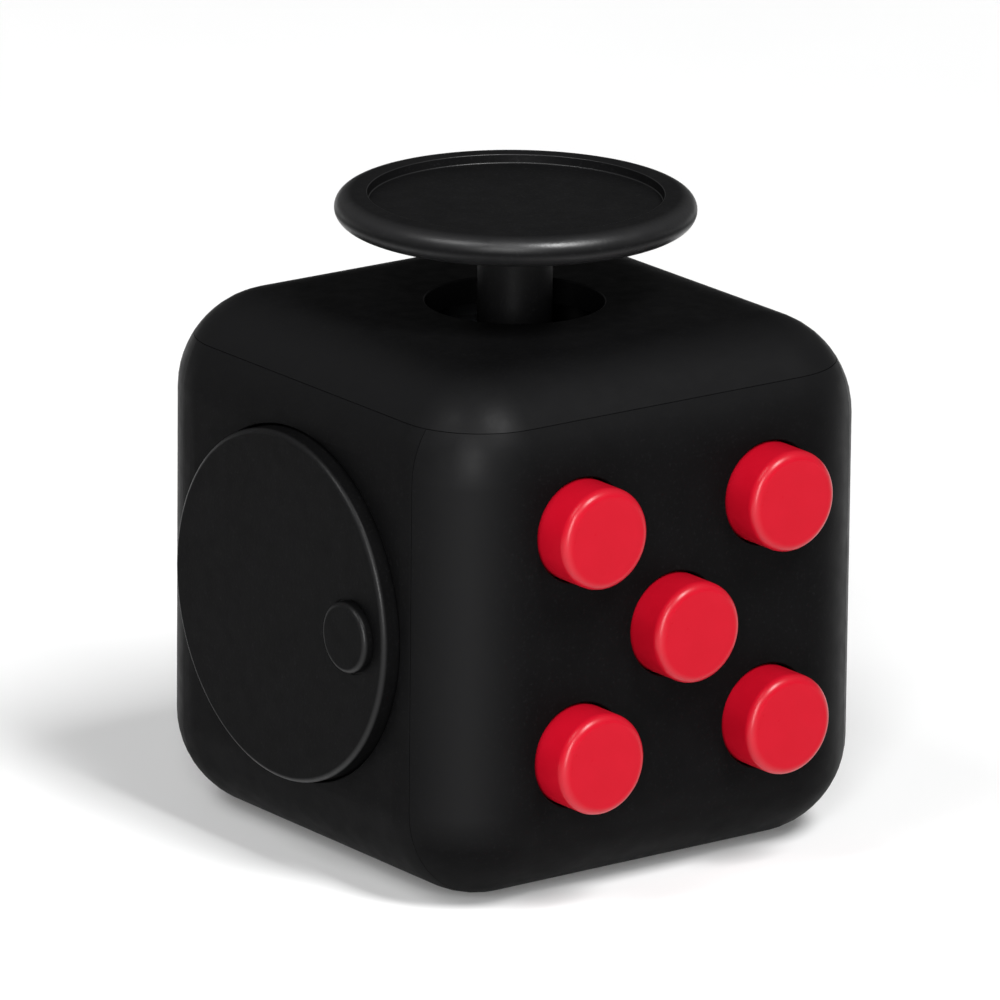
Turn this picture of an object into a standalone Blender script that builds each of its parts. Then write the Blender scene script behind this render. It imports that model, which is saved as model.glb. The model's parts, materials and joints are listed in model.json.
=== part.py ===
"""Fidget cube: a 33 mm desk toy with a different thing to fiddle with on each of its six faces.

Top (+Z) joystick, front (-Y) five buttons, left (-X) dial, right (+X) flip switch,
back (+Y) three gears and a ball, underside (-Z) a shallow thumb rest.
Dimensions are in millimetres and MM turns them into metres.
The origin is under the middle of the cube, at the height of the base.
"""

import math

import bmesh
import bpy
from mathutils import Matrix, Vector

MM = 0.001
COIL_STEPS = 9
SHARP_ANGLE = 30
WELD = 1e-6

# Casing
SIDE = 33.0
HALF = SIDE / 2
EDGE_RADIUS = 6.25
WALL = 1.6
INNER = HALF - WALL
SEAM = 0.2
TOP_SEAM = 13.6
SIDE_SEAM = 11.85
DIAL_SEAM = 12.0
ROCKER_SEAM = 14.25
FRAME_GAP = 0.3
FRAME_WINDOW = 11.9
FAR = 40.0

# How far cutters reach and how deep joined pieces sink into each other
PUNCH = 6.0
THROUGH = 9.0
PAST = 1.0
OVERLAP = 0.4

# Shared clearances and fasteners
REST_GAP = 0.2
HEAD_GAP = 0.1
PILOT_RADIUS = 0.65
SCREW_HOLE_RADIUS = 0.75
SCREW_RADIUS = 0.5
SCREW_HEAD_RADIUS = 1.25
SCREW_HEAD_HEIGHT = 0.8
SCREW_HEAD_EDGE = 0.6
SCREW_HEAD_CROWN = 0.7
PILOT_SINK = 0.7
BOSS_RADIUS = 1.4

# Joystick, with heights measured from its pivot
PIVOT = Vector((0, 0, HALF + 9.0))
STEM_HOLE_RADIUS = 5.5
STEM_RADIUS = 2.3
STEM_FOOT = -2.0
SOCKET_RADIUS = 1.5
SOCKET_DEPTH = 0.9
SOCKET_CLEARANCE = 0.15
SPIGOT_RADIUS = 1.0
SPIGOT_FOOT = -3.2
DISC_RADIUS = 11.05
DISC_MIDDLE = 13.3
DISC_HALF_THICKNESS = 0.95
DISC_RIM = 1.1
DISC_RECESS_RADIUS = 9.05
DISC_RECESS_DEPTH = 0.57
DISC_RECESS_SLOPE = 0.2
RING_INNER = 3.3
RING_OUTER = 5.3
RING_HALF_HEIGHT = 1.2
PIVOT_PIN_RADIUS = 0.6
PIVOT_HOLE_RADIUS = 0.75
CUP_INNER = 6.4
CUP_OUTER = 7.6
CUP_FLOOR = -6.4
CUP_FLOOR_THICKNESS = 1.2
FLANGE_RADIUS = 11.2
FLANGE_LOW = 2.3
FLANGE_HIGH = 3.5
JOYSTICK_SCREW_CIRCLE = 9.4
JOYSTICK_SCREW_ANGLES = (30, 150, 270)
JOYSTICK_SCREW_LENGTH = 3.9
TRUNNION_BITE = 1.0

# Buttons, with depths measured inwards from the front face
BUTTON_SPACING = 7.05
BUTTON_RADIUS = 3.15
BUTTON_HEIGHT = 2.65
BUTTON_FILLET = 0.65
BUTTON_CLEARANCE = 0.15
BUTTON_FLANGE_RADIUS = 3.85
BUTTON_FLANGE_TOP = 1.9
BUTTON_FLANGE_FOOT = 2.7
BUTTON_STEM_RADIUS = 1.0
BUTTON_STEM_FOOT = 7.4
PLATE_HALF = 8.9
PLATE_FRONT = 6.4
PLATE_BACK = 7.6
PLATE_SCREW_LENGTH = 5.6

# Dial, with heights measured outwards from the left face
DIAL_RADIUS = 10.9
DIAL_PROUD = 1.1
DIAL_FILLET = 0.4
DIAL_UNDERSIDE = -0.7
DIAL_WELL_RADIUS = 11.15
DIAL_WELL_FLOOR = -1.0
DIAL_SHAFT_RADIUS = 2.0
DIAL_SHAFT_FOOT = -2.9
DIAL_BACKING_RADIUS = 11.6
DIAL_BACKING_FOOT = -2.6
NUB_RADIUS = 2.2
NUB_PROUD = 0.65
NUB_OFFSET = 7.6
NUB_FILLET = 0.35
NUB_FOOT = 0.5
DIAL_BORE_TOP = -0.2
WASHER_RADIUS = 3.2
WASHER_THICKNESS = 0.6
WASHER_GAP = 0.3
DIAL_SCREW_LENGTH = 3.2

# Flip switch, with x measured outwards from its pin
ROCKER_PIN = Vector((13.1, 0, HALF))
ROCKER_TILT = math.radians(9)
ROCKER_RADIUS = 7.2
ROCKER_HALF_WIDTH = 3.6
ROCKER_CREST = 3.4
ROCKER_CLEARANCE = 0.25
ROCKER_SHOULDER = 1.0
ROCKER_NOSE = ((-1.0, 1.9), (-1.4, 1.4), (-3.0, 1.4))
ROCKER_PIN_RADIUS = 0.75
ROCKER_PIN_REACH = 5.1
PLUNGER_BORE = (0.9, 1.3, 4.0)
PLUNGER_OUTLINE = ((0, 2.5), (0.75, 2.5), (0.75, 3.3), (0.5, 3.55), (0, 3.65))
PLUNGER_SPRING_SPAN = (1.45, 2.4)
ROCKER_BOX_BACK = 8.3
ROCKER_BOX_HALF = (5.3, 8.2)
ROCKER_ROOM_BACK = 9.2
ROCKER_ROOM_HALF = (3.9, 7.6)
ROCKER_EAR = 9.9
ROCKER_EAR_SPAN = (11.4, 12.4)
ROCKER_EAR_HALF = (2.0, 11.1)
EAR_SCREW_LENGTH = 3.8

# Gears and ball on the back face
GEAR_RADIUS = 4.6
GEAR_ROOT = 3.9
GEAR_TEETH = 14
GEAR_TOOTH = ((0, GEAR_ROOT), (0.22, GEAR_ROOT), (0.36, GEAR_RADIUS), (0.86, GEAR_RADIUS))
GEAR_WIDTH = 2.7
GEAR_WINDOW_HALF = 4.7
GEAR_CLEARANCE = 0.25
GEAR_PITCH = 3.1
GEAR_PROUD = 1.6
GEAR_CENTRE = Vector((0, HALF + GEAR_PROUD - GEAR_RADIUS, HALF + 5.2))
AXLE_RADIUS = 0.8
GEAR_BORE = 0.95
BALL_RADIUS = 4.2
BALL_CENTRE = Vector((0, HALF + BUTTON_HEIGHT - BALL_RADIUS, HALF - 6.2))
BALL_CLEARANCE = 0.15
TUBE_INNER = 4.4
TUBE_OUTER = 5.2
TUBE_SPAN = (5.4, 14.4)
TUBE_FLOOR = 0.8
CUP_SPAN = (-5.5, -2.6)
CUP_CLEARANCE = 0.25
AXLE_HALF = 6.3
CARRIER_HALF = 6.6
CARRIER_BACK = 9.2
CARRIER_LOW = HALF - 0.7
CARRIER_HIGH = HALF + 10.9
CARRIER_ROOM_HALF = 4.75
CARRIER_SHELF = 1.0
CARRIER_ROOF = 0.8
CARRIER_EAR = 8.2
CARRIER_EAR_SPAN = (11.6, 12.6)
CARRIER_EAR_HALF = (9.8, 1.8)
WEB_LOW = Vector((-3.0, 9.6, HALF - 1.6))
WEB_HIGH = Vector((3.0, 13.5, HALF - 0.3))

# Thumb rest in the underside
REST_RADIUS = 8.5
REST_DEPTH = 1.5
REST_SPILL = 0.6
REST_BACKING_RADIUS = 8.9
REST_BACKING_DEPTH = 1.4

# Springs as (coil radius, wire radius, turns)
CENTRING_COIL = (1.5, 0.22, 3.5)
BUTTON_COIL = (1.45, 0.15, 3)
PLUNGER_COIL = (0.55, 0.1, 3)
BALL_COIL = (2.8, 0.25, 2.5)

X, Y, Z = Vector((1, 0, 0)), Vector((0, 1, 0)), Vector((0, 0, 1))
CENTRE = Vector((0, 0, HALF))


def clear_scene():
    for obj in list(bpy.data.objects):
        bpy.data.objects.remove(obj, do_unlink=True)


def linear(value):
    """One sRGB channel from 0 to 255 as linear light."""
    share = value / 255
    return share / 12.92 if share <= 0.04045 else ((share + 0.055) / 1.055) ** 2.4


def material(name, colour, roughness, metallic=0.0):
    made = bpy.data.materials.new(name)
    made.use_nodes = True
    shader = made.node_tree.nodes["Principled BSDF"]
    shader.inputs["Base Color"].default_value = [linear(c) for c in colour] + [1.0]
    shader.inputs["Roughness"].default_value = roughness
    shader.inputs["Metallic"].default_value = metallic
    return made


# Objects from a bmesh in millimetres


def place(name, bm, finish, at=CENTRE, axis=Z, helper=False):
    """An object whose local Z points along axis, with its origin at the point given in millimetres."""
    bmesh.ops.recalc_face_normals(bm, faces=bm.faces)
    bm.transform(Matrix.Scale(MM, 4))
    mesh = bpy.data.meshes.new(name)
    bm.to_mesh(mesh)
    bm.free()
    obj = bpy.data.objects.new(name, mesh)
    bpy.context.scene.collection.objects.link(obj)
    obj.location = Vector(at) * MM
    obj.rotation_euler = Z.rotation_difference(Vector(axis)).to_euler()
    if helper:
        obj.hide_render = True
        obj.display_type = "WIRE"
    else:
        mesh.materials.append(finish)
    return obj


def arc(centre, radii, start, end, steps):
    """Points (r, h) along an elliptic arc between two angles in degrees, both ends included."""
    points = []
    for i in range(steps + 1):
        angle = math.radians(start + (end - start) * i / steps)
        points.append((centre[0] + radii[0] * math.cos(angle), centre[1] + radii[1] * math.sin(angle)))
    return points


def fillet(radius, top, size, steps=3):
    """The rounded outer edge at the top of a disc, from its side to its face."""
    return arc((radius - size, top - size), (size, size), 0, 90, steps)


def turned(name, profile, finish, at=CENTRE, axis=Z, steps=24, closed=False, helper=False):
    """Turns a profile of (radius, height) points about the local Z axis."""
    bm = bmesh.new()
    points = [bm.verts.new((r, 0, h)) for r, h in profile]
    edges = [bm.edges.new(pair) for pair in zip(points, points[1:])]
    if closed:
        edges.append(bm.edges.new((points[-1], points[0])))
    bmesh.ops.spin(bm, geom=points + edges, cent=(0, 0, 0), axis=(0, 0, 1), angle=math.tau, steps=steps)
    bmesh.ops.remove_doubles(bm, verts=bm.verts, dist=1e-4)
    return place(name, bm, finish, at, axis, helper)


def rod(name, radius, start, end, finish=None, steps=16, helper=True):
    """A round bar between two points."""
    run = Vector(end) - Vector(start)
    profile = [(0, 0), (radius, 0), (radius, run.length), (0, run.length)]
    return turned(name, profile, finish, start, run, steps, helper=helper)


def block(name, low, high, finish=None, helper=True):
    """A box between two corners, in the object's frame."""
    low, high = Vector(low), Vector(high)
    middle = (low + high) / 2
    bm = bmesh.new()
    bmesh.ops.create_cube(bm, size=1, matrix=Matrix.Diagonal((*(high - low), 1)))
    return place(name, bm, finish, middle, helper=helper)


def prism(name, outline, half_width, finish, at):
    """An outline of (x, z) points carried along Y to both sides."""
    bm = bmesh.new()
    face = bm.faces.new([bm.verts.new((x, -half_width, z)) for x, z in outline])
    grown = bmesh.ops.extrude_face_region(bm, geom=[face])["geom"]
    moved = [v for v in grown if isinstance(v, bmesh.types.BMVert)]
    bmesh.ops.translate(bm, vec=(0, 2 * half_width, 0), verts=moved)
    return place(name, bm, finish, at)


def coil(name, at, axis, spring, low, high, finish):
    """A helical spring of round wire around the local Z axis."""
    radius, wire, turns = spring
    curve = bpy.data.curves.new(name, "CURVE")
    curve.dimensions = "3D"
    curve.bevel_depth = wire * MM
    curve.bevel_resolution = 1
    curve.use_fill_caps = True
    steps = round(turns * COIL_STEPS)
    spline = curve.splines.new("POLY")
    spline.points.add(steps)
    for i, point in enumerate(spline.points):
        angle = math.tau * turns * i / steps
        height = low + wire + (high - low - 2 * wire) * i / steps
        spot = Vector((radius * math.cos(angle), radius * math.sin(angle), height))
        point.co = (*(spot * MM), 1)
    obj = bpy.data.objects.new(name, curve)
    bpy.context.scene.collection.objects.link(obj)
    curve.materials.append(finish)
    obj.location = Vector(at) * MM
    obj.rotation_euler = Z.rotation_difference(Vector(axis)).to_euler()
    return obj


def combine(obj, tool, operation):
    modifier = obj.modifiers.new(f"{operation.lower()} {tool.name}", "BOOLEAN")
    modifier.operation = operation
    modifier.object = tool
    modifier.solver = "EXACT"


def cut(obj, *tools):
    for tool in tools:
        combine(obj, tool, "DIFFERENCE")


def join(obj, *tools):
    for tool in tools:
        combine(obj, tool, "UNION")


def rounded_cube(name, half, radius, segments, finish=None, helper=False):
    """A cube about the cube's centre with all its edges rounded."""
    bm = bmesh.new()
    bmesh.ops.create_cube(bm, size=2 * half)
    bmesh.ops.bevel(bm, geom=bm.edges[:], offset=radius, segments=segments, profile=0.5, affect="EDGES")
    return place(name, bm, finish, helper=helper)


def screw(name, seat, direction, length, finish):
    """A small pan-head screw whose head rests at the seat and whose shank runs along direction."""
    head = SCREW_HEAD_HEIGHT
    profile = [(0, -length), (SCREW_RADIUS, -length), (SCREW_RADIUS, 0), (SCREW_HEAD_RADIUS, 0)]
    profile += [(SCREW_HEAD_RADIUS, head * SCREW_HEAD_EDGE)]
    profile += [(SCREW_HEAD_RADIUS * SCREW_HEAD_CROWN, head), (0, head)]
    return turned(name, profile, finish, seat, -Vector(direction), steps=12)


def boss(panel, foot, top):
    """A hollow screw post standing on the inside of a panel, with its pilot hole blind in the wall."""
    foot, top = Vector(foot), Vector(top)
    inwards = (top - foot).normalized()
    name = f"{panel.name}_boss_{len(panel.modifiers)}"
    join(panel, rod(name, BOSS_RADIUS, foot - inwards * OVERLAP, top, steps=16))
    pilot = foot - inwards * PILOT_SINK, top + inwards * PAST
    cut(panel, rod(name + "_pilot", PILOT_RADIUS, *pilot, steps=10))


# Casing


def casing_block(name, low, high, finish, cavity):
    """The piece of the hollow rounded cube that lies between two corners, measured from its centre."""
    panel = rounded_cube(name, HALF, EDGE_RADIUS, 5, finish)
    cut(panel, cavity)
    combine(panel, block(name + "_region", CENTRE + Vector(low), CENTRE + Vector(high)), "INTERSECT")
    return panel


def make_casing(black):
    cavity = rounded_cube("cavity", INNER, EDGE_RADIUS - WALL, 3, helper=True)
    gap = SEAM / 2
    under = TOP_SEAM - gap
    left_of_rocker = ROCKER_SEAM - gap
    panels = {}
    between = SIDE_SEAM - gap
    regions = {
        "top_panel": ((-FAR, -FAR, TOP_SEAM + gap), (FAR, FAR, FAR)),
        "rocker_panel": ((ROCKER_SEAM + gap, -FAR, -FAR), (FAR, FAR, under)),
        "button_panel": ((-FAR, -FAR, -FAR), (left_of_rocker, -SIDE_SEAM - gap, under)),
        "roll_panel": ((-FAR, SIDE_SEAM + gap, -FAR), (left_of_rocker, FAR, under)),
        "dial_panel": ((-FAR, -between, -FAR), (-DIAL_SEAM - gap, between, under)),
        "base_panel": ((-DIAL_SEAM + gap, -between, -FAR), (left_of_rocker, between, -INNER / 2)),
    }
    for name, (low, high) in regions.items():
        panels[name] = casing_block(name, low, high, black, cavity)
    return panels


def make_core_frame(finish):
    """The inner cage: the twelve edges of a rounded cube, just inside the wall."""
    half = INNER - FRAME_GAP
    frame = rounded_cube("core_frame", half, EDGE_RADIUS - WALL - FRAME_GAP, 3, finish)
    for axis, name in ((X, "x"), (Y, "y"), (Z, "z")):
        reach = Vector([FAR if a else FRAME_WINDOW for a in axis])
        cut(frame, block(f"frame_tunnel_{name}", CENTRE - reach, CENTRE + reach))


def make_thumb_rest(base):
    """A shallow spherical dish in the underside, and the thicker wall behind it."""
    sphere = (REST_RADIUS**2 + REST_DEPTH**2) / (2 * REST_DEPTH)
    middle = REST_DEPTH - sphere
    widest = math.degrees(math.asin((REST_RADIUS + REST_SPILL) / sphere))
    profile = arc((0, middle), (sphere, sphere), 90, 90 - widest, 5)
    profile += [(REST_RADIUS + REST_SPILL, -PUNCH), (0, -PUNCH)]
    backing = Z * (WALL - OVERLAP), Z * (WALL + REST_BACKING_DEPTH)
    join(base, rod("thumb_rest_backing", REST_BACKING_RADIUS, *backing, steps=32))
    cut(base, turned("thumb_rest_dish", profile, None, (0, 0, 0), steps=32, helper=True))


# Joystick


def make_joystick(panel, black, frame_grey, steel):
    top = CENTRE + Z * HALF
    cut(panel, rod("stem_hole", STEM_HOLE_RADIUS, top - Z * PUNCH, top + Z * PUNCH, steps=40))
    low, high = DISC_MIDDLE - DISC_HALF_THICKNESS, DISC_MIDDLE + DISC_HALF_THICKNESS
    rim = DISC_RADIUS - DISC_RIM
    floor = high - DISC_RECESS_DEPTH
    roof = low + SOCKET_DEPTH
    profile = [(0, roof), (SOCKET_RADIUS, roof), (SOCKET_RADIUS, low), (rim, low)]
    profile += arc((rim, DISC_MIDDLE), (DISC_RIM, DISC_HALF_THICKNESS), -90, 90, 6)[1:]
    profile += [(DISC_RECESS_RADIUS, high), (DISC_RECESS_RADIUS - DISC_RECESS_SLOPE, floor), (0, floor)]
    turned("thumb_disc", profile, black, PIVOT, steps=40)
    head = low - HEAD_GAP
    peg = SOCKET_RADIUS - SOCKET_CLEARANCE
    profile = [(0, SPIGOT_FOOT), (SPIGOT_RADIUS, SPIGOT_FOOT)]
    profile += [(SPIGOT_RADIUS, STEM_FOOT), (STEM_RADIUS, STEM_FOOT)]
    profile += [(STEM_RADIUS, head), (peg, head), (peg, head + SOCKET_DEPTH), (0, head + SOCKET_DEPTH)]
    stem = turned("joystick_stem", profile, black, PIVOT, steps=20)
    cross = rod("pin_cross_hole", PIVOT_HOLE_RADIUS, PIVOT - Y * PUNCH, PIVOT + Y * PUNCH, steps=12)
    cut(stem, cross)
    make_gimbal(cross, steel, frame_grey)
    make_joystick_housing(frame_grey, steel)
    for number, degrees in enumerate(JOYSTICK_SCREW_ANGLES, 1):
        angle = math.radians(degrees)
        spot = PIVOT + JOYSTICK_SCREW_CIRCLE * Vector((math.cos(angle), math.sin(angle), 0))
        boss(panel, (spot.x, spot.y, HALF + INNER), (spot.x, spot.y, PIVOT.z + FLANGE_HIGH + REST_GAP))
        seat = spot + Z * (FLANGE_LOW - HEAD_GAP)
        screw(f"joystick_screw_{number}", seat, Z, JOYSTICK_SCREW_LENGTH, steel)


def make_gimbal(cross, steel, frame_grey):
    """A ring that tilts about X in the housing and carries the stem's pin along Y."""
    tall = RING_HALF_HEIGHT
    profile = [(RING_INNER, -tall), (RING_OUTER, -tall), (RING_OUTER, tall), (RING_INNER, tall)]
    ring = turned("gimbal_ring", profile, frame_grey, PIVOT, steps=28, closed=True)
    cut(ring, cross)
    reach = RING_OUTER - REST_GAP
    rod("gimbal_pin", PIVOT_PIN_RADIUS, PIVOT - Y * reach, PIVOT + Y * reach, steel, 10, helper=False)
    for number, side in enumerate((-1, 1), 1):
        away = X * side
        inner, outer = RING_OUTER - TRUNNION_BITE, CUP_OUTER - REST_GAP
        bore = PIVOT + away * (inner - REST_GAP), PIVOT + away * PUNCH
        cut(ring, rod(f"trunnion_bore_{number}", PIVOT_HOLE_RADIUS, *bore, steps=12))
        ends = PIVOT + away * inner, PIVOT + away * outer
        rod(f"trunnion_pin_{number}", PIVOT_PIN_RADIUS, *ends, steel, 10, helper=False)


def make_joystick_housing(grey, steel):
    """The cup under the top panel that holds the gimbal and the centring spring."""
    floor = CUP_FLOOR + CUP_FLOOR_THICKNESS
    profile = [(0, CUP_FLOOR), (CUP_OUTER, CUP_FLOOR), (CUP_OUTER, FLANGE_LOW), (FLANGE_RADIUS, FLANGE_LOW)]
    profile += [(FLANGE_RADIUS, FLANGE_HIGH), (CUP_INNER, FLANGE_HIGH), (CUP_INNER, floor), (0, floor)]
    housing = turned("joystick_housing", profile, grey, PIVOT, steps=32)
    across = PIVOT - X * THROUGH, PIVOT + X * THROUGH
    cut(housing, rod("trunnion_holes", PIVOT_HOLE_RADIUS, *across, steps=12))
    for degrees in JOYSTICK_SCREW_ANGLES:
        angle = math.radians(degrees)
        spot = PIVOT + JOYSTICK_SCREW_CIRCLE * Vector((math.cos(angle), math.sin(angle), 0))
        hole = rod(f"joystick_screw_hole_{degrees}", SCREW_HOLE_RADIUS, spot, spot + Z * PUNCH, steps=12)
        cut(housing, hole)
    coil("centring_spring", PIVOT, Z, CENTRING_COIL, floor + REST_GAP, STEM_FOOT - REST_GAP, steel)


# Buttons


def button_spots():
    """The five button centres on the front face: one in the middle and one towards each corner."""
    corners = [Vector((x, 0, z)) for z in (1, -1) for x in (-1, 1)]
    return [CENTRE + corner * BUTTON_SPACING - Y * HALF for corner in corners] + [CENTRE - Y * HALF]


def through_plate(spot):
    """The two ends of a cutter that goes through the button plate behind a point on the front face."""
    return spot + Y * (PLATE_FRONT - PAST), spot + Y * (PLATE_BACK + PAST)


def make_buttons(panel, red, frame_grey, steel):
    plate_low = (-PLATE_HALF, -HALF + PLATE_FRONT, HALF - PLATE_HALF)
    plate_high = (PLATE_HALF, -HALF + PLATE_BACK, HALF + PLATE_HALF)
    plate = block("button_plate", plate_low, plate_high, frame_grey, helper=False)
    profile = [(0, -BUTTON_STEM_FOOT), (BUTTON_STEM_RADIUS, -BUTTON_STEM_FOOT)]
    profile += [(BUTTON_STEM_RADIUS, -BUTTON_FLANGE_FOOT), (BUTTON_FLANGE_RADIUS, -BUTTON_FLANGE_FOOT)]
    profile += [(BUTTON_FLANGE_RADIUS, -BUTTON_FLANGE_TOP), (BUTTON_RADIUS, -BUTTON_FLANGE_TOP)]
    profile += fillet(BUTTON_RADIUS, BUTTON_HEIGHT, BUTTON_FILLET) + [(0, BUTTON_HEIGHT)]
    for number, spot in enumerate(button_spots(), 1):
        turned(f"button_{number}", profile, red, spot, -Y, steps=24)
        spring_ends = -PLATE_FRONT + REST_GAP, -BUTTON_FLANGE_FOOT - REST_GAP
        coil(f"button_spring_{number}", spot, -Y, BUTTON_COIL, *spring_ends, steel)
        bore = BUTTON_RADIUS + BUTTON_CLEARANCE
        cut(panel, rod(f"button_hole_{number}", bore, spot - Y * PAST, spot + Y * (WALL + PAST), steps=24))
        guide = BUTTON_STEM_RADIUS + BUTTON_CLEARANCE
        cut(plate, rod(f"button_guide_{number}", guide, *through_plate(spot), steps=12))
    for number, side in enumerate((-1, 1), 1):
        spot = CENTRE + Z * side * BUTTON_SPACING - Y * HALF
        boss(panel, spot + Y * WALL, spot + Y * (PLATE_FRONT - REST_GAP))
        cut(plate, rod(f"plate_screw_hole_{number}", SCREW_HOLE_RADIUS, *through_plate(spot), steps=12))
        seat = spot + Y * (PLATE_BACK + HEAD_GAP)
        screw(f"button_plate_screw_{number}", seat, -Y, PLATE_SCREW_LENGTH, steel)


# Dial


def make_dial(panel, black, steel):
    face = CENTRE - X * HALF
    backing = face + X * (WALL - OVERLAP), face - X * DIAL_BACKING_FOOT
    join(panel, rod("dial_backing", DIAL_BACKING_RADIUS, *backing, steps=40))
    cut(panel, rod("dial_well", DIAL_WELL_RADIUS, face - X * DIAL_WELL_FLOOR, face - X * PUNCH, steps=48))
    shaft_hole = DIAL_SHAFT_RADIUS + REST_GAP
    cut(panel, rod("dial_shaft_hole", shaft_hole, face - X * PUNCH, face + X * PUNCH, steps=20))
    profile = [(0, DIAL_BORE_TOP), (PILOT_RADIUS, DIAL_BORE_TOP), (PILOT_RADIUS, DIAL_SHAFT_FOOT)]
    profile += [(DIAL_SHAFT_RADIUS, DIAL_SHAFT_FOOT), (DIAL_SHAFT_RADIUS, DIAL_UNDERSIDE)]
    profile += [(DIAL_RADIUS, DIAL_UNDERSIDE)] + fillet(DIAL_RADIUS, DIAL_PROUD, DIAL_FILLET, 2)
    profile += [(0, DIAL_PROUD)]
    dial = turned("dial", profile, black, face, -X, steps=48)
    top = DIAL_PROUD + NUB_PROUD
    profile = [(0, NUB_FOOT), (NUB_RADIUS, NUB_FOOT)] + fillet(NUB_RADIUS, top, NUB_FILLET, 2) + [(0, top)]
    join(dial, turned("dial_nub", profile, None, face - Y * NUB_OFFSET, -X, steps=24, helper=True))
    washer_top = DIAL_SHAFT_FOOT - WASHER_GAP
    washer_foot = washer_top - WASHER_THICKNESS
    profile = [(SCREW_HOLE_RADIUS, washer_foot), (WASHER_RADIUS, washer_foot), (WASHER_RADIUS, washer_top)]
    profile += [(SCREW_HOLE_RADIUS, washer_top)]
    turned("dial_washer", profile, steel, face, -X, steps=20, closed=True)
    screw("dial_screw", face - X * (washer_foot - HEAD_GAP), -X, DIAL_SCREW_LENGTH, steel)


# Flip switch


def make_rocker(panel, black, frame_grey, steel):
    pin = ROCKER_PIN
    cleared = ROCKER_RADIUS + ROCKER_CLEARANCE
    reach = Y * (ROCKER_HALF_WIDTH + ROCKER_CLEARANCE)
    cut(panel, rod("rocker_window", cleared, pin - reach, pin + reach, steps=64))
    slope = math.tan(ROCKER_TILT)
    # Where the sloping top meets the round end: (crest + slope w)^2 + w^2 = radius^2
    a, b, c = 1 + slope**2, 2 * ROCKER_CREST * slope, ROCKER_CREST**2 - ROCKER_RADIUS**2
    end = (-b + math.sqrt(b * b - 4 * a * c)) / (2 * a)
    high = math.degrees(math.asin(end / ROCKER_RADIUS))
    low = math.degrees(math.acos(ROCKER_SHOULDER / ROCKER_RADIUS))
    side = arc((0, 0), (ROCKER_RADIUS, ROCKER_RADIUS), high, low, 4)
    half_outline = side + list(ROCKER_NOSE)
    outline = [(ROCKER_CREST, 0)] + half_outline + [(x, -z) for x, z in reversed(half_outline)]
    rocker = prism("rocker", outline, ROCKER_HALF_WIDTH, black, pin)
    bore = ROCKER_PIN_RADIUS + REST_GAP
    cut(rocker, rod("rocker_axle_bore", bore, pin - Y * THROUGH, pin + Y * THROUGH, steps=16))
    radius, mouth, end = PLUNGER_BORE
    plunger_bore = rod("rocker_plunger_bore", radius, -X * mouth, -X * end, steps=12)
    plunger = turned("rocker_plunger", PLUNGER_OUTLINE, steel, (0, 0, 0), -X, steps=12)
    spring = coil("rocker_spring", (0, 0, 0), -X, PLUNGER_COIL, *PLUNGER_SPRING_SPAN, steel)
    for piece in (plunger_bore, plunger, spring):
        piece.parent = rocker
    cut(rocker, plunger_bore)
    rocker.rotation_euler = (0, ROCKER_TILT, 0)
    make_rocker_housing(panel, frame_grey, steel)


def make_rocker_housing(panel, grey, steel):
    """The box behind the switch: its side walls hold the pin, and its ears screw to the panel."""
    pin = ROCKER_PIN
    wide, tall = ROCKER_BOX_HALF
    low, high = (ROCKER_BOX_BACK, -wide, HALF - tall), (INNER - FRAME_GAP, wide, HALF + tall)
    housing = block("rocker_housing", low, high, grey, helper=False)
    ear_back, ear_front = ROCKER_EAR_SPAN
    wide, tall = ROCKER_EAR_HALF
    join(housing, block("rocker_ears", (ear_back, -wide, HALF - tall), (ear_front, wide, HALF + tall)))
    wide, tall = ROCKER_ROOM_HALF
    cut(housing, block("rocker_room", (ROCKER_ROOM_BACK, -wide, HALF - tall), (FAR, wide, HALF + tall)))
    hole = ROCKER_PIN_RADIUS + SOCKET_CLEARANCE
    cut(housing, rod("rocker_pin_holes", hole, pin - Y * THROUGH, pin + Y * THROUGH, steps=16))
    reach = Y * ROCKER_PIN_REACH
    rod("rocker_pin", ROCKER_PIN_RADIUS, pin - reach, pin + reach, steel, 14, helper=False)
    for number, side in enumerate((-1, 1), 1):
        height = HALF + side * ROCKER_EAR
        boss(panel, (INNER, 0, height), (ear_front + REST_GAP, 0, height))
        ends = (ear_back - PAST, 0, height), (ear_front + PAST, 0, height)
        cut(housing, rod(f"rocker_ear_hole_{number}", SCREW_HOLE_RADIUS, *ends, steps=12))
        screw(f"rocker_screw_{number}", (ear_back - HEAD_GAP, 0, height), X, EAR_SCREW_LENGTH, steel)


# Gears and ball


def gear(name, at, finish):
    """A toothed roller turning about X."""
    bm = bmesh.new()
    outline = []
    for tooth in range(GEAR_TEETH):
        pitch = math.tau / GEAR_TEETH
        for share, radius in GEAR_TOOTH:
            angle = pitch * (tooth + share)
            outline.append((radius * math.cos(angle), radius * math.sin(angle)))
    half = GEAR_WIDTH / 2
    bore = arc((0, 0), (GEAR_BORE, GEAR_BORE), 0, 360, GEAR_TEETH)[:-1]
    rings = []
    for points in (outline, bore):
        for x in (-half, half):
            rings.append([bm.verts.new((x, y, z)) for y, z in points])
    for near, far in ((rings[0], rings[1]), (rings[2], rings[3])):
        for i in range(len(near)):
            j = (i + 1) % len(near)
            bm.faces.new((near[i], near[j], far[j], far[i]))
    for outer, inner in ((rings[0], rings[2]), (rings[1], rings[3])):
        pairs = [pair for ring in (outer, inner) for pair in zip(ring, ring[1:] + ring[:1])]
        bmesh.ops.triangle_fill(bm, use_beauty=True, edges=[bm.edges.get(pair) for pair in pairs])
    return place(name, bm, finish, at)


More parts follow.
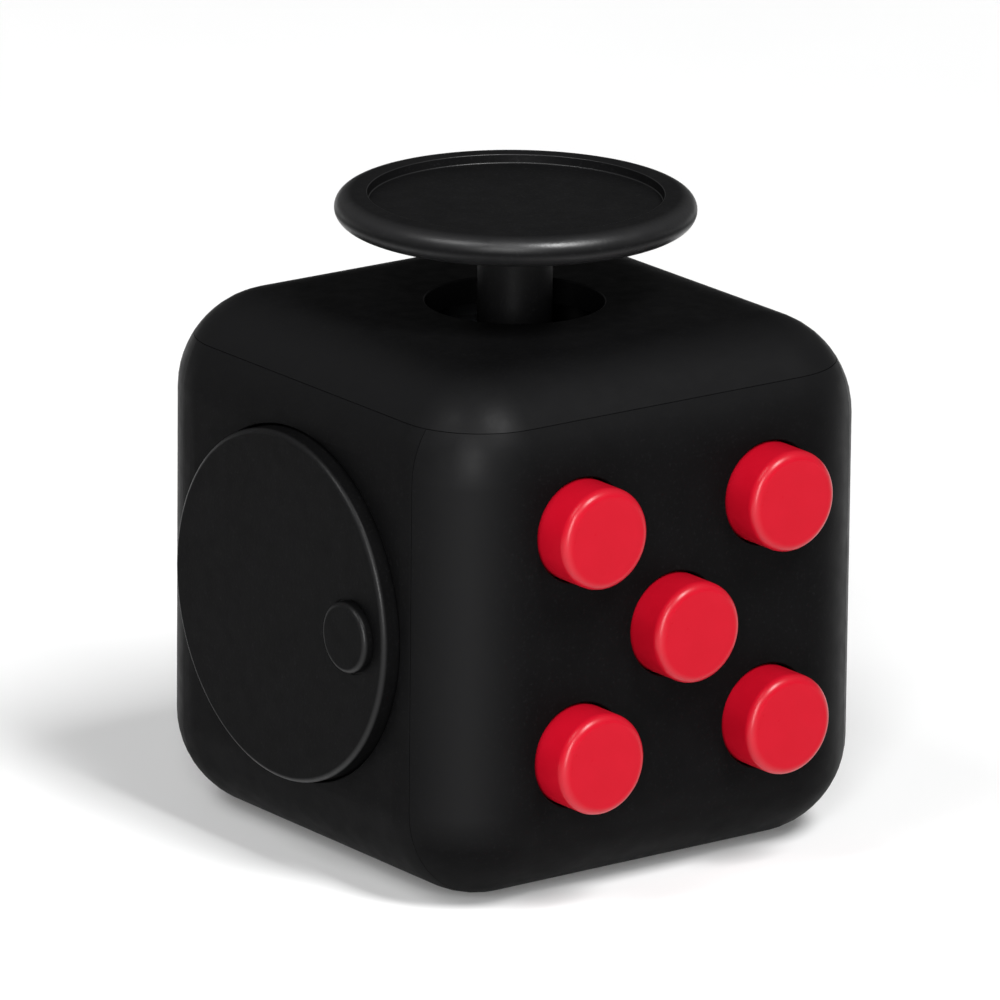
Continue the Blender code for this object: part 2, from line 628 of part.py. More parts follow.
def make_gears(panel, chrome, frame_grey, steel):
    reach = X * GEAR_WINDOW_HALF
    cleared = GEAR_RADIUS + GEAR_CLEARANCE
    cut(panel, rod("gear_window", cleared, GEAR_CENTRE - reach, GEAR_CENTRE + reach, steps=48))
    for number in (1, 2, 3):
        gear(f"gear_{number}", GEAR_CENTRE + X * GEAR_PITCH * (number - 2), chrome)
    reach = X * AXLE_HALF
    rod("gear_axle", AXLE_RADIUS, GEAR_CENTRE - reach, GEAR_CENTRE + reach, steel, 14, helper=False)
    low = (-CARRIER_HALF, CARRIER_BACK, CARRIER_LOW)
    high = (CARRIER_HALF, INNER - FRAME_GAP, CARRIER_HIGH)
    carrier = block("roll_carrier", low, high, frame_grey, helper=False)
    ear_back, ear_front = CARRIER_EAR_SPAN
    wide, tall = CARRIER_EAR_HALF
    middle = GEAR_CENTRE.z
    join(carrier, block("carrier_ears", (-wide, ear_back, middle - tall), (wide, ear_front, middle + tall)))
    room_low = (-CARRIER_ROOM_HALF, 0, CARRIER_LOW + CARRIER_SHELF)
    cut(carrier, block("gear_room", room_low, (CARRIER_ROOM_HALF, FAR, CARRIER_HIGH - CARRIER_ROOF)))
    hole = AXLE_RADIUS + SOCKET_CLEARANCE
    reach = X * THROUGH
    cut(carrier, rod("gear_axle_holes", hole, GEAR_CENTRE - reach, GEAR_CENTRE + reach, steps=14))
    make_ball(panel, carrier, chrome, frame_grey, steel)
    for number, side in enumerate((-1, 1), 1):
        spot = Vector((side * CARRIER_EAR, 0, middle))
        boss(panel, spot + Y * INNER, spot + Y * (ear_front + REST_GAP))
        ends = spot + Y * (ear_back - PAST), spot + Y * (ear_front + PAST)
        cut(carrier, rod(f"carrier_ear_hole_{number}", SCREW_HOLE_RADIUS, *ends, steps=12))
        screw(f"roll_carrier_screw_{number}", spot + Y * (ear_back - HEAD_GAP), Y, EAR_SCREW_LENGTH, steel)


def ball_mesh(radius, segments, rings):
    bm = bmesh.new()
    bmesh.ops.create_uvsphere(bm, u_segments=segments, v_segments=rings, radius=radius)
    return bm


def make_ball(panel, carrier, chrome, grey, steel):
    """The ball in its sprung cup, and the tube on the carrier that the cup slides in."""
    centre = BALL_CENTRE
    seat = BALL_RADIUS + BALL_CLEARANCE
    cut(panel, place("ball_hole", ball_mesh(seat, 32, 16), None, centre, Y, helper=True))
    place("ball", ball_mesh(BALL_RADIUS, 24, 12), chrome, centre, Y)
    foot, top = (y - centre.y for y in TUBE_SPAN)
    floor = foot + TUBE_FLOOR
    profile = [(0, foot), (TUBE_OUTER, foot), (TUBE_OUTER, top)]
    profile += [(TUBE_INNER, top), (TUBE_INNER, floor), (0, floor)]
    join(carrier, turned("ball_tube", profile, None, centre, Y, steps=28, helper=True))
    join(carrier, block("tube_web", WEB_LOW, WEB_HIGH))
    back, rim = CUP_SPAN
    seat_angle = math.degrees(math.asin(rim / seat))
    cup = TUBE_INNER - CUP_CLEARANCE
    profile = [(0, back), (cup, back), (cup, rim)] + arc((0, 0), (seat, seat), seat_angle, -90, 4)
    turned("ball_cup", profile, grey, centre, Y, steps=28)
    coil("ball_spring", centre, Y, BALL_COIL, floor + REST_GAP, back - REST_GAP, steel)


# Finishing


def settle():
    """Turns every piece's modifiers into its mesh, shades it, and removes the cutting shapes."""
    bpy.context.view_layer.update()
    graph = bpy.context.evaluated_depsgraph_get()
    pieces = [obj for obj in bpy.data.objects if not obj.hide_render]
    meshes = {obj: bpy.data.meshes.new_from_object(obj.evaluated_get(graph)) for obj in pieces}
    for obj, mesh in meshes.items():
        weld(mesh)
        mesh.shade_smooth()
        mesh.set_sharp_from_angle(angle=math.radians(SHARP_ANGLE))
        if obj.type == "MESH":
            obj.modifiers.clear()
            obj.data = mesh
        else:
            swap_curve(obj, mesh)
    for obj in [o for o in bpy.data.objects if o.hide_render]:
        bpy.data.objects.remove(obj, do_unlink=True)


def weld(mesh):
    """Merges points closer than a micrometre and closes the pinholes this leaves."""
    bm = bmesh.new()
    bm.from_mesh(mesh)
    bmesh.ops.remove_doubles(bm, verts=bm.verts, dist=WELD)
    bmesh.ops.holes_fill(bm, edges=[edge for edge in bm.edges if edge.is_boundary])
    bmesh.ops.recalc_face_normals(bm, faces=bm.faces)
    bm.to_mesh(mesh)
    bm.free()


def swap_curve(obj, mesh):
    """Replaces a coil's curve object with a mesh object of the same name and place."""
    name, parent, matrix = obj.name, obj.parent, obj.matrix_local.copy()
    bpy.data.objects.remove(obj, do_unlink=True)
    made = bpy.data.objects.new(name, mesh)
    bpy.context.scene.collection.objects.link(made)
    made.parent = parent
    made.matrix_local = matrix


def main():
    clear_scene()
    casing_black = material("casing_black", (30, 30, 31), 0.5)
    control_black = material("control_black", (32, 32, 33), 0.55)
    button_red = material("button_red", (222, 18, 38), 0.35)
    frame_grey = material("frame_grey", (70, 72, 75), 0.6)
    gear_chrome = material("gear_chrome", (200, 202, 205), 0.25, 1.0)
    spring_steel = material("spring_steel", (165, 167, 170), 0.35, 1.0)
    panels = make_casing(casing_black)
    make_core_frame(frame_grey)
    make_thumb_rest(panels["base_panel"])
    make_joystick(panels["top_panel"], control_black, frame_grey, spring_steel)
    make_buttons(panels["button_panel"], button_red, frame_grey, spring_steel)
    make_dial(panels["dial_panel"], control_black, spring_steel)
    make_rocker(panels["rocker_panel"], control_black, frame_grey, spring_steel)
    make_gears(panels["roll_panel"], gear_chrome, frame_grey, spring_steel)
    settle()


main()
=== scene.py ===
"""How the fidget cube looks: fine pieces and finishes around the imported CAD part.

Shapes are worked in millimetres and MM turns each finished mesh into metres.
Panels are cut from one hollow rounded cube, so their edges meet as the casing's seams.
"""

import json
import math

import bmesh
import bpy
from mathutils import Matrix, Vector

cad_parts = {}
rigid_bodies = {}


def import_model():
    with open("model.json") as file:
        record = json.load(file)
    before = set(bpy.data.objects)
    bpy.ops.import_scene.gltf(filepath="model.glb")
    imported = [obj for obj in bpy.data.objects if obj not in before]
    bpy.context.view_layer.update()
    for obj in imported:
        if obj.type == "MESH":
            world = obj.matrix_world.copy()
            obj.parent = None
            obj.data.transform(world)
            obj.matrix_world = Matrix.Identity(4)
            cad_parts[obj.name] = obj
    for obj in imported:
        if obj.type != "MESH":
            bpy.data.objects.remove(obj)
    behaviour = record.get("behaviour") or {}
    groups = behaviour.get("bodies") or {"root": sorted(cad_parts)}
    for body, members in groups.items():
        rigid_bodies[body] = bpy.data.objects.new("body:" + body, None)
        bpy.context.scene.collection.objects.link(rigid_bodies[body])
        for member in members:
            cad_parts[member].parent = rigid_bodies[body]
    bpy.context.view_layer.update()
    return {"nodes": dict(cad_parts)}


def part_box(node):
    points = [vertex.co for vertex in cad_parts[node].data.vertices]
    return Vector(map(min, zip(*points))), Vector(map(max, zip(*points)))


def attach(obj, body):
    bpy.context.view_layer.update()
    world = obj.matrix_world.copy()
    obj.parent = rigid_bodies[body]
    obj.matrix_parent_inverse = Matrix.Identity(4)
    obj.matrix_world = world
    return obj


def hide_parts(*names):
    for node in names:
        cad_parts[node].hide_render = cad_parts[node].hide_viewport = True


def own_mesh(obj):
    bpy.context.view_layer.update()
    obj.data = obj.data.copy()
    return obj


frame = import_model()

MM = 0.001
X, Y, Z = Vector((1, 0, 0)), Vector((0, 1, 0)), Vector((0, 0, 1))

# How close points must be to count as one
RIM_MERGE = 0.02
WELD_MERGE = 1e-3
TURN_MERGE = 1e-4
# A direction that no two corners of a piece are likely to share a height along
SKEW = Vector((1.0, 1.7, 2.9))
SMOOTH_ANGLE = 42


def span(node):
    """The lowest and highest corner of a CAD node at rest, in millimetres."""
    low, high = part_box(node)
    return low / MM, high / MM


def middle(node):
    low, high = span(node)
    return (low + high) / 2


# Casing: its size and its seams follow the CAD panels
HALF = -span("button_panel")[0].y
CENTRE = Vector((0, 0, HALF))
EDGE_RADIUS = 6.25
WALL = 1.6
ROUND_STEPS = 14
CAD_SEAM = 0.2
SEAM = 0.035
SNAP = 0.15
TOP_SEAM = span("button_panel")[1].z - HALF + CAD_SEAM / 2
SIDE_SEAM = span("dial_panel")[1].y + CAD_SEAM / 2
DIAL_SEAM = CAD_SEAM / 2 - span("base_panel")[0].x
ROCKER_SEAM = span("base_panel")[1].x + CAD_SEAM / 2
HOLE_EASE = 0.12
BOSS_RADIUS = 1.4
PILOT_RADIUS = 0.65
BOSS_SINK = 0.4
PILOT_SINK = 0.7
PLATE_DEPTH = 6.2
REST_RADIUS = 8.5
REST_DEPTH = 1.5
REST_BACKING_RADIUS = 8.9
REST_BACKING_DEPTH = 1.4

# Controls
PIVOT = Vector((0, 0, HALF + 9.0))
STEM_HOLE_RADIUS = 5.5
DISC_RADIUS = span("thumb_disc")[1].x
DISC_TOP = span("thumb_disc")[1].z
DISC_THICKNESS = DISC_TOP - span("thumb_disc")[0].z
STEM_RADIUS = span("joystick_stem")[1].x
FLANGE_TOP = 3.5
SCREW_CIRCLE = 9.4
SCREW_ANGLES = (30, 150, 270)
DISC_RIM = 1.1
DISC_RECESS_RADIUS = 9.05
DISC_RECESS_DEPTH = 0.57
SOCKET_RADIUS = 1.5
SOCKET_DEPTH = 0.9
PEG_RADIUS = 1.35
HEAD_GAP = 0.1
SPIGOT_RADIUS = 1.0
STEM_FOOT = -2.0
STEM_EASE = 0.15
PIN_HOLE_RADIUS = 0.75
BUTTON_NAMES = [f"button_{n}" for n in range(1, 6)]
BUTTON_RADIUS = 3.15
BUTTON_HEIGHT = -HALF - span("button_1")[0].y
BUTTON_CLEARANCE = 0.12
BUTTON_STEM_RADIUS = 1.0
BUTTON_STEM_FOOT = -7.4
BUTTON_FLANGE_RADIUS = 3.85
BUTTON_FLANGE_SPAN = (-2.7, -1.9)
BUTTON_FILLET = 0.62
DIAL_RADIUS = span("dial")[1].z - HALF
DIAL_WELL_RADIUS = 11.02
DIAL_WELL_DEPTH = 1.0
DIAL_BACKING_RADIUS = 11.6
DIAL_BACKING_SPAN = (1.45, 2.6)
DIAL_PROUD = 1.1
DIAL_UNDERSIDE = -0.7
DIAL_BORE_TOP = -0.2
DIAL_SHAFT_RADIUS = 2.0
DIAL_SHAFT_FOOT = -2.9
DIAL_FILLET = 0.36
NUB_FILLET = 0.35
NUB_GROOVE = 0.06
NUB_RADIUS = 2.2
NUB_OFFSET = 7.6
NUB_TOP = -HALF - span("dial")[0].x
ROCKER_PIN = Vector((13.1, 0, HALF))
ROCKER_RADIUS = 7.2
ROCKER_TILT = math.radians(9)
ROCKER_CREST = 3.4
ROCKER_SHOULDER = 1.0
ROCKER_VALLEY = 1.5
ROCKER_NOSE = [(-1.0, 1.9), (-1.4, 1.4), (-3.0, 1.4)]
ROCKER_HALF_WIDTH = 3.6
ROCKER_SOFTNESS = 0.28
ROLL_CLEARANCE = 0.25
AXLE_BORE = 0.95
PLUNGER_BORE = 0.9
EAR_OFFSET = 9.9
EAR_FRONT = 12.6
GEAR_CENTRE = middle("gear_2")
GEAR_RADIUS = 4.6
GEAR_TEETH = 14
GEAR_TOOTH = ((0, 3.9), (0.11, 3.87), (0.22, 3.9), (0.36, 4.56), (0.61, GEAR_RADIUS), (0.86, 4.56))
GEAR_HALF_WIDTH = 1.35
GEAR_SOFTNESS = 0.1
GEAR_WINDOW_HALF = 4.7
BALL_CENTRE = middle("ball")
BALL_RADIUS = 4.2
BALL_CLEARANCE = 0.15
CARRIER_SCREW_OFFSET = 8.2
CARRIER_SCREW_DEPTH = 12.8

# Springs, each with its coil radius and its wire radius
BUTTON_SPRING = (1.45, 0.15)
BALL_SPRING = (2.8, 0.25)
CENTRING_SPRING = (1.5, 0.22)
PLUNGER_SPRING = (0.55, 0.1)

STEPS = 96
pieces = []
helpers = []


# Meshes in millimetres


def face_outwards(bm):
    bmesh.ops.recalc_face_normals(bm, faces=bm.faces)
    if bm.calc_volume(signed=True) < 0:
        bmesh.ops.reverse_faces(bm, faces=bm.faces)


def make(name, bm, at=CENTRE, axis=Z):
    """An object whose local Z points along axis."""
    face_outwards(bm)
    mesh = bpy.data.meshes.new(name)
    bm.to_mesh(mesh)
    bm.free()
    obj = bpy.data.objects.new(name, mesh)
    bpy.context.scene.collection.objects.link(obj)
    obj.location = at
    obj.rotation_euler = Z.rotation_difference(Vector(axis)).to_euler()
    return obj


def fine(obj, node, body, slot):
    """Says which CAD node a piece stands for, what it moves with and what it is made of."""
    pieces.append((obj, node, body, slot))
    return obj


def tool(obj):
    """A shape that only cuts or joins."""
    obj.hide_render = True
    helpers.append(obj)
    return obj


def arc(centre, radii, start, end, steps):
    """Points (r, h) along an elliptic arc between two angles in degrees, both ends included."""
    angles = [math.radians(start + (end - start) * i / steps) for i in range(steps + 1)]
    return [(centre[0] + radii[0] * math.cos(a), centre[1] + radii[1] * math.sin(a)) for a in angles]


def fillet(radius, top, size, steps=8):
    """The rounded outer edge at the top of a disc."""
    return arc((radius - size, top - size), (size, size), 0, 90, steps)


def lathe(name, profile, at=CENTRE, axis=Z, steps=STEPS):
    """Turns a profile of (radius, height) points about the local Z axis."""
    bm = bmesh.new()
    points = [bm.verts.new((r, 0, h)) for r, h in profile]
    edges = [bm.edges.new(pair) for pair in zip(points, points[1:])]
    bmesh.ops.spin(bm, geom=points + edges, cent=(0, 0, 0), axis=(0, 0, 1), angle=math.tau, steps=steps)
    bmesh.ops.remove_doubles(bm, verts=bm.verts, dist=TURN_MERGE)
    return make(name, bm, at, axis)


def rod(name, radius, start, end, steps=STEPS):
    run = Vector(end) - Vector(start)
    profile = [(0, 0), (radius, 0), (radius, run.length), (0, run.length)]
    return tool(lathe(name, profile, start, run, steps))


def hole(name, radius, depth, at, axis, ease=HOLE_EASE):
    """A cutter for a round hole with a softened edge; at is on the surface and axis points outwards."""
    profile = [(0, -depth), (radius, -depth)] + arc((radius + ease, -ease), (ease, ease), 180, 100, 4)
    profile += [(profile[-1][0], 2.0), (0, 2.0)]
    return tool(lathe(name, profile, at, axis))


def prism(name, outline, half_width, at, axis=Z):
    """An outline of (x, z) points carried along Y to both sides."""
    bm = bmesh.new()
    face = bm.faces.new([bm.verts.new((x, -half_width, z)) for x, z in outline])
    grown = bmesh.ops.extrude_face_region(bm, geom=[face])["geom"]
    moved = [v for v in grown if isinstance(v, bmesh.types.BMVert)]
    bmesh.ops.translate(bm, vec=(0, 2 * half_width, 0), verts=moved)
    return make(name, bm, at, axis)


def flare(name, half_u, half_v, at, axis):
    """A shallow cutter that chamfers the edge of an oblong window."""
    bm = bmesh.new()
    rings = []
    for height, grow in ((-HOLE_EASE, 0), (0, HOLE_EASE), (1, HOLE_EASE)):
        u, v = half_u + grow, half_v + grow
        rings.append([bm.verts.new((x, y, height)) for x, y in ((-u, -v), (u, -v), (u, v), (-u, v))])
    for low, high in zip(rings, rings[1:]):
        for i in range(4):
            j = (i + 1) % 4
            bm.faces.new((low[i], low[j], high[j], high[i]))
    bm.faces.new(rings[0])
    bm.faces.new(rings[-1])
    return tool(make(name, bm, at, axis))


def combine(obj, operation, tools):
    for other in tools:
        modifier = obj.modifiers.new(f"{operation.lower()} {other.name}", "BOOLEAN")
        modifier.operation = operation
        modifier.object = other
        modifier.solver = "EXACT"


def cut(obj, *tools):
    combine(obj, "DIFFERENCE", tools)


def join(obj, *tools):
    combine(obj, "UNION", tools)


def soften(obj, width, segments=3, angle=40):
    bevel = obj.modifiers.new("soft edges", "BEVEL")
    bevel.width = width
    bevel.segments = segments
    bevel.limit_method = "ANGLE"
    bevel.angle_limit = math.radians(angle)
    bevel.use_clamp_overlap = True
    return obj


def coil(name, at, axis, radius, wire, low, high, turns):
    """A helical spring of round wire around the local Z axis, with its end turns closed up."""
    curve = bpy.data.curves.new(name, "CURVE")
    curve.dimensions = "3D"
    curve.bevel_depth = wire
    curve.bevel_resolution = 3
    curve.use_fill_caps = True
    steps = round(turns * 28)
    spline = curve.splines.new("POLY")
    spline.points.add(steps)
    for i, point in enumerate(spline.points):
        share = i / steps
        eased = share - math.sin(math.tau * share) / math.tau * 0.75
        angle = math.tau * turns * share
        height = low + wire + (high - low - 2 * wire) * eased
        point.co = (radius * math.cos(angle), radius * math.sin(angle), height, 1)
    obj = bpy.data.objects.new(name, curve)
    bpy.context.scene.collection.objects.link(obj)
    obj.location = at
    obj.rotation_euler = Z.rotation_difference(Vector(axis)).to_euler()
    return obj


# Casing


def on_rounded_cube(point, radius):
    """The nearest point of a rounded cube about the origin."""
    core = HALF - EDGE_RADIUS
    inner = Vector([max(-core, min(core, c)) for c in point])
    return inner + (point - inner).normalized() * radius


def rounded_skin(radius, planes):
    """One skin of the casing, with the points that lie close to a seam brought on to it."""
    bm = bmesh.new()
    bmesh.ops.create_cube(bm, size=2 * (HALF - EDGE_RADIUS + radius))
    bmesh.ops.bevel(bm, geom=bm.edges[:], offset=radius, segments=ROUND_STEPS, profile=0.5, affect="EDGES")
    for vert in bm.verts:
        vert.co = on_rounded_cube(vert.co, radius)
        for co, normal in planes:
            if abs((vert.co - co).dot(normal)) < SNAP:
                for _ in range(6):
                    vert.co = on_rounded_cube(vert.co - normal * (vert.co - co).dot(normal), radius)
                vert.co -= normal * (vert.co - co).dot(normal)
    return bm


def slab(name, planes):
    """What is left of the hollow rounded cube behind all the planes, each a point and an outward normal."""
    bm = rounded_skin(EDGE_RADIUS, planes)
    inner = rounded_skin(EDGE_RADIUS - WALL, planes)
    bmesh.ops.reverse_faces(inner, faces=inner.faces)
    passed = bpy.data.meshes.new("inner skin")
    inner.to_mesh(passed)
    inner.free()
    bm.from_mesh(passed)
    bpy.data.meshes.remove(passed)
    for co, normal in planes:
        geom = bm.verts[:] + bm.edges[:] + bm.faces[:]
        bmesh.ops.bisect_plane(bm, geom=geom, dist=1e-3, plane_co=co, plane_no=normal, clear_outer=True)
        bmesh.ops.remove_doubles(bm, verts=bm.verts, dist=RIM_MERGE)
        rim = [edge for edge in bm.edges if edge.is_boundary]
        bmesh.ops.triangle_fill(bm, edges=rim, use_beauty=True)
    return make(name, bm)


def boss(panel, foot, top):
    """A hollow screw post standing on the inside of a panel."""
    foot, top = Vector(foot), Vector(top)
    inwards = (top - foot).normalized()
    name = f"{panel.name}_boss_{len(panel.modifiers)}"
    join(panel, rod(name, BOSS_RADIUS, foot - inwards * BOSS_SINK, top, 40))
    cut(panel, rod(name + "_pilot", PILOT_RADIUS, foot - inwards * PILOT_SINK, top + inwards, 24))


def make_panels():
    """The six panels, each what the seam planes leave of the hollow cube."""
    gap = SEAM / 2
    under = (Z * (TOP_SEAM - gap), Z)
    left = (X * (ROCKER_SEAM - gap), X)
    sides = [(Y * (SIDE_SEAM - gap), Y), (-Y * (SIDE_SEAM - gap), -Y)]
    regions = {
        "top_panel": [(Z * (TOP_SEAM + gap), -Z)],
        "rocker_panel": [(X * (ROCKER_SEAM + gap), -X), under],
        "button_panel": [(-Y * (SIDE_SEAM + gap), Y), left, under],
        "roll_panel": [(Y * (SIDE_SEAM + gap), -Y), left, under],
        "dial_panel": [(-X * (DIAL_SEAM + gap), X), under] + sides,
        "base_panel": [(-Z * (HALF - WALL) / 2, Z), (-X * (DIAL_SEAM - gap), -X), left] + sides,
    }
    panels = {}
    for name, planes in regions.items():
        panels[name] = fine(slab(name + "_fine", planes), name, "casing", "casing_black")
    return panels


def open_top(top):
    cut(top, hole("stem_hole", STEM_HOLE_RADIUS, 6, CENTRE + Z * HALF, Z))
    for degrees in SCREW_ANGLES:
        spot = Vector((math.cos(math.radians(degrees)), math.sin(math.radians(degrees)), 0)) * SCREW_CIRCLE
        low = PIVOT.z + FLANGE_TOP + CAD_SEAM
        boss(top, (spot.x, spot.y, 2 * HALF - WALL), (spot.x, spot.y, low))


def open_front(button_panel):
    for name in BUTTON_NAMES:
        spot = middle(name)
        radius = BUTTON_RADIUS + BUTTON_CLEARANCE
        cut(button_panel, hole(name + "_hole", radius, 3, (spot.x, -HALF, spot.z), -Y))
    spread = middle("button_1").z - HALF
    for height in (HALF - spread, HALF + spread):
        boss(button_panel, (0, WALL - HALF, height), (0, PLATE_DEPTH - HALF, height))


def open_left(dial_panel):
    face = CENTRE - X * HALF
    near, deep = DIAL_BACKING_SPAN
    join(dial_panel, rod("dial_backing", DIAL_BACKING_RADIUS, face + X * near, face + X * deep))
    cut(dial_panel, hole("dial_well", DIAL_WELL_RADIUS, DIAL_WELL_DEPTH, face, -X))
    cut(dial_panel, rod("dial_shaft_hole", 2.2, face - X * 2, face + X * 5, 48))


def open_base(base):
    """Presses the thumb rest into the underside and backs it on the inside."""
    rest, depth = REST_RADIUS, REST_DEPTH
    sphere = (rest**2 + depth**2) / (2 * depth)
    backing = (0, 0, WALL - 0.35), (0, 0, WALL + REST_BACKING_DEPTH)
    join(base, rod("rest_backing", REST_BACKING_RADIUS, *backing))
    widest = math.degrees(math.asin((rest - 0.2) / sphere))
    profile = arc((0, depth - sphere), (sphere, sphere), 90, 90 - widest, 14)
    profile += [(rest + 0.3, -0.02), (rest + 0.7, -0.06), (rest + 0.7, -2), (0, -2)]
    cut(base, tool(lathe("rest_dish", profile, (0, 0, 0), Z, 128)))


def open_right(rocker_panel):
    reach = ROCKER_HALF_WIDTH + ROLL_CLEARANCE
    cleared = ROCKER_RADIUS + ROLL_CLEARANCE
    ends = ROCKER_PIN - Y * reach, ROCKER_PIN + Y * reach
    cut(rocker_panel, rod("rocker_window", cleared, *ends, 160))
    sunk = HALF - HOLE_EASE - ROCKER_PIN.x
    length = math.sqrt(cleared**2 - sunk**2)
    cut(rocker_panel, flare("rocker_flare", length, reach, CENTRE + X * HALF, X))
    for height in (HALF - EAR_OFFSET, HALF + EAR_OFFSET):
        boss(rocker_panel, (HALF - WALL, 0, height), (EAR_FRONT, 0, height))


def open_back(roll_panel):
    cleared = GEAR_RADIUS + ROLL_CLEARANCE
    ends = GEAR_CENTRE - X * GEAR_WINDOW_HALF, GEAR_CENTRE + X * GEAR_WINDOW_HALF
    cut(roll_panel, rod("gear_window", cleared, *ends, 128))
    sunk = HALF - HOLE_EASE - GEAR_CENTRE.y
    length = math.sqrt(cleared**2 - sunk**2)
    cut(roll_panel, flare("gear_flare", GEAR_WINDOW_HALF, length, (0, HALF, GEAR_CENTRE.z), Y))
    socket = BALL_RADIUS + BALL_CLEARANCE
    lip = HALF - BALL_CENTRE.y
    profile = arc((0, 0), (socket, socket), -90, math.degrees(math.asin((lip - 0.1) / socket)), 28)
    profile += [(profile[-1][0] + 0.16, lip + 0.02), (profile[-1][0] + 0.16, lip + 1), (0, lip + 1)]
    cut(roll_panel, tool(lathe("ball_hole", profile, BALL_CENTRE, Y, 128)))
    for side in (-CARRIER_SCREW_OFFSET, CARRIER_SCREW_OFFSET):
        boss(roll_panel, (side, HALF - WALL, GEAR_CENTRE.z), (side, CARRIER_SCREW_DEPTH, GEAR_CENTRE.z))


def make_casing():
    panels = make_panels()
    open_top(panels["top_panel"])
    open_front(panels["button_panel"])
    open_left(panels["dial_panel"])
    open_base(panels["base_panel"])
    open_right(panels["rocker_panel"])
    open_back(panels["roll_panel"])


# Controls


def make_joystick():
    high = DISC_TOP - PIVOT.z
    half = DISC_THICKNESS / 2
    mid, low = high - half, high - 2 * half
    rim, recess = DISC_RADIUS - DISC_RIM, DISC_RECESS_RADIUS
    floor = high - DISC_RECESS_DEPTH
    roof = low + SOCKET_DEPTH
    profile = [(0, roof), (SOCKET_RADIUS, roof), (SOCKET_RADIUS, low), (rim, low)]
    profile += arc((rim, mid), (DISC_RIM, half), -90, 90, 24)[1:]
    profile += arc((recess + 0.06, high - 0.06), (0.06, 0.06), 90, 180, 3)
    profile += arc((recess - 0.12, floor + 0.08), (0.08, 0.08), 0, -90, 3) + [(0, floor)]
    fine(lathe("thumb_disc_fine", profile, PIVOT, Z, 144), "thumb_disc", "stick", "control_black")
    foot = span("joystick_stem")[0].z - PIVOT.z
    head = low - HEAD_GAP
    profile = [(0, foot), (SPIGOT_RADIUS - STEM_EASE, foot), (SPIGOT_RADIUS, foot + STEM_EASE)]
    profile += [(SPIGOT_RADIUS, STEM_FOOT), (STEM_RADIUS - STEM_EASE, STEM_FOOT)]
    profile += [(STEM_RADIUS, STEM_FOOT + STEM_EASE), (STEM_RADIUS, head), (PEG_RADIUS, head)]
    profile += [(PEG_RADIUS, head + SOCKET_DEPTH), (0, head + SOCKET_DEPTH)]
    stem = fine(lathe("joystick_stem_fine", profile, PIVOT), "joystick_stem", "stick", "control_black")
    cut(stem, rod("stem_cross_hole", PIN_HOLE_RADIUS, PIVOT - Y * 6, PIVOT + Y * 6, 32))


def make_buttons():
    stem, foot = BUTTON_STEM_RADIUS, BUTTON_STEM_FOOT
    low, high = BUTTON_FLANGE_SPAN
    profile = [(0, foot), (stem - STEM_EASE, foot), (stem, foot + STEM_EASE), (stem, low)]
    profile += [(BUTTON_FLANGE_RADIUS, low), (BUTTON_FLANGE_RADIUS, high), (BUTTON_RADIUS, high)]
    # The face is very slightly crowned
    profile += fillet(BUTTON_RADIUS, BUTTON_HEIGHT - 0.03, BUTTON_FILLET, 10)
    profile += [(1.6, BUTTON_HEIGHT - 0.008), (0, BUTTON_HEIGHT)]
    for name in BUTTON_NAMES:
        spot = middle(name)
        fine(lathe(name + "_fine", profile, (spot.x, -HALF, spot.z), -Y), name, name, "button_red")


def make_dial():
    face = CENTRE - X * HALF
    top, shaft, foot = DIAL_PROUD, DIAL_SHAFT_RADIUS, DIAL_SHAFT_FOOT
    profile = [(0, DIAL_BORE_TOP), (PILOT_RADIUS, DIAL_BORE_TOP), (PILOT_RADIUS, foot), (shaft, foot)]
    profile += [(shaft, DIAL_UNDERSIDE), (DIAL_RADIUS, DIAL_UNDERSIDE)]
    profile += fillet(DIAL_RADIUS, top, DIAL_FILLET, 8) + [(0, top)]
    dial = fine(lathe("dial_fine", profile, face, -X, 144), "dial", "dial", "control_black")
    spot = face - Y * NUB_OFFSET
    bed = top - NUB_GROOVE
    groove = [(NUB_RADIUS - 0.5, bed), (NUB_RADIUS + 0.14, bed), (NUB_RADIUS + 0.2, top + 1)]
    groove += [(NUB_RADIUS - 0.5, top + 1)]
    bm = bmesh.new()
    points = [bm.verts.new((r, 0, h)) for r, h in groove]
    edges = [bm.edges.new((points[i], points[(i + 1) % 4])) for i in range(4)]
    bmesh.ops.spin(bm, geom=points + edges, cent=(0, 0, 0), axis=(0, 0, 1), angle=math.tau, steps=64)
    bmesh.ops.remove_doubles(bm, verts=bm.verts, dist=TURN_MERGE)
    cut(dial, tool(make("nub_groove", bm, spot, -X)))
    profile = [(0, 0.4), (NUB_RADIUS, 0.4)] + fillet(NUB_RADIUS, NUB_TOP, NUB_FILLET, 8) + [(0, NUB_TOP)]
    join(dial, tool(lathe("dial_nub", profile, spot, -X, 72)))


